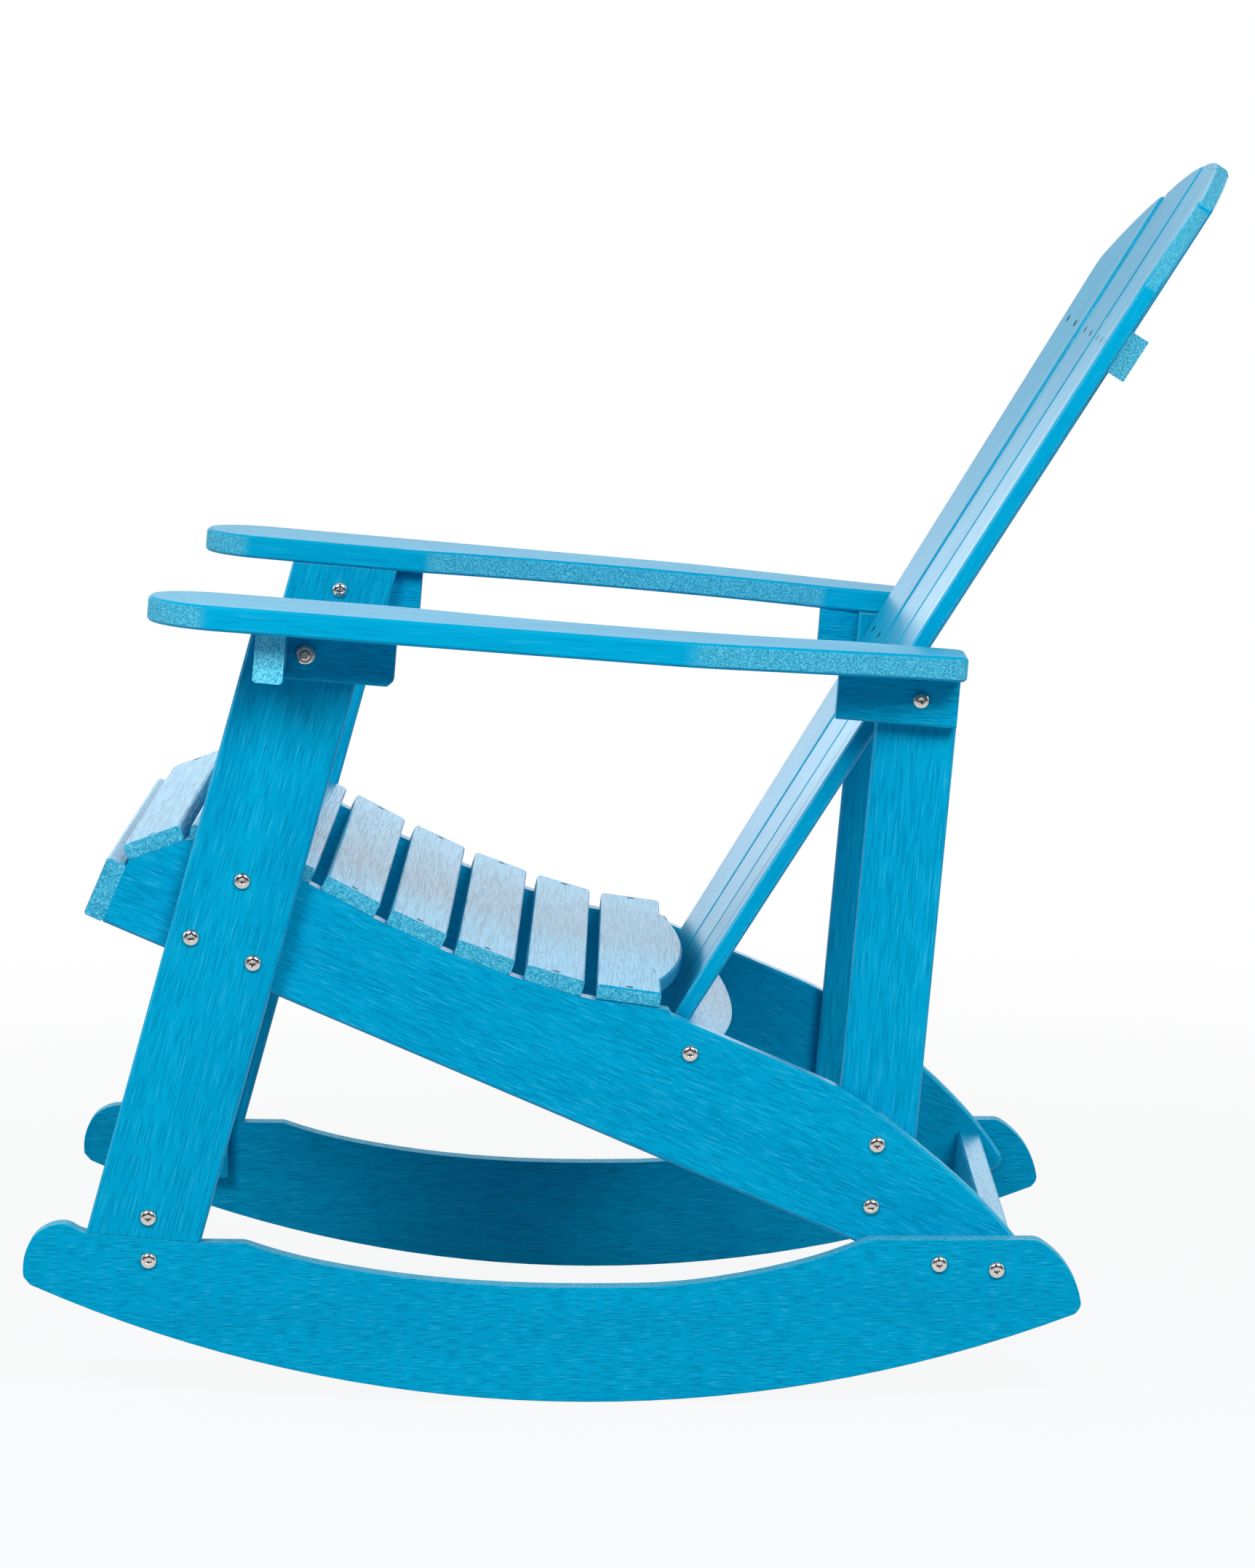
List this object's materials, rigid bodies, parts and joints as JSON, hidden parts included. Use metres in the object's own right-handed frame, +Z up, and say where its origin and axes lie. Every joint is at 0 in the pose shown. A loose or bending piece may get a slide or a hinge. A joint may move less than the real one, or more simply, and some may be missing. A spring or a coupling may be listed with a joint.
{
  "type": "rocking chair",
  "caption": "Rocking slatted garden chair in blue plastic lumber: fanned reclined back, scooped slat seat, wide flat arms on raked legs, curved rockers.",
  "frame": {"origin": "centre of the box around the whole chair, on the floor", "axes": "+Z up, -Y the way the sitter faces, +X the sitter's left"},
  "size_m": [0.8052, 0.9866, 0.9907],
  "materials": {
    "plastic_lumber": "bright blue foamed plastic lumber, embossed wood grain on its moulded faces, fine stipple on its sawn edges",
    "stainless_steel": "bright stainless steel, button heads with a hexagon socket"
  },
  "bodies": {
    "root": {"back_screws": "stainless_steel", "back_slat_1": "plastic_lumber", "back_slat_2": "plastic_lumber", "back_slat_3": "plastic_lumber", "back_slat_4": "plastic_lumber", "back_slat_5": "plastic_lumber", "frame_bolts": "stainless_steel", "frame_nuts": "stainless_steel", "frame_washers": "stainless_steel", "front_apron": "plastic_lumber", "left_armrest": "plastic_lumber", "left_front_arm_block": "plastic_lumber", "left_front_arm_bracket": "plastic_lumber", "left_front_leg": "plastic_lumber", "left_leg_cleat": "plastic_lumber", "left_rear_arm_bracket": "plastic_lumber", "left_rear_leg": "plastic_lumber", "left_rocker": "plastic_lumber", "left_side_rail": "plastic_lumber", "lower_back_support": "plastic_lumber", "mid_back_support": "plastic_lumber", "rear_seat_slat": "plastic_lumber", "rear_stretcher": "plastic_lumber", "right_armrest": "plastic_lumber", "right_front_arm_block": "plastic_lumber", "right_front_arm_bracket": "plastic_lumber", "right_front_leg": "plastic_lumber", "right_leg_cleat": "plastic_lumber", "right_rear_arm_bracket": "plastic_lumber", "right_rear_leg": "plastic_lumber", "right_rocker": "plastic_lumber", "right_side_rail": "plastic_lumber", "seat_screws": "stainless_steel", "seat_slat_1": "plastic_lumber", "seat_slat_2": "plastic_lumber", "seat_slat_3": "plastic_lumber", "seat_slat_4": "plastic_lumber", "seat_slat_5": "plastic_lumber", "seat_slat_6": "plastic_lumber", "seat_slat_7": "plastic_lumber", "upper_back_cleat": "plastic_lumber"}
  },
  "joints": []
}
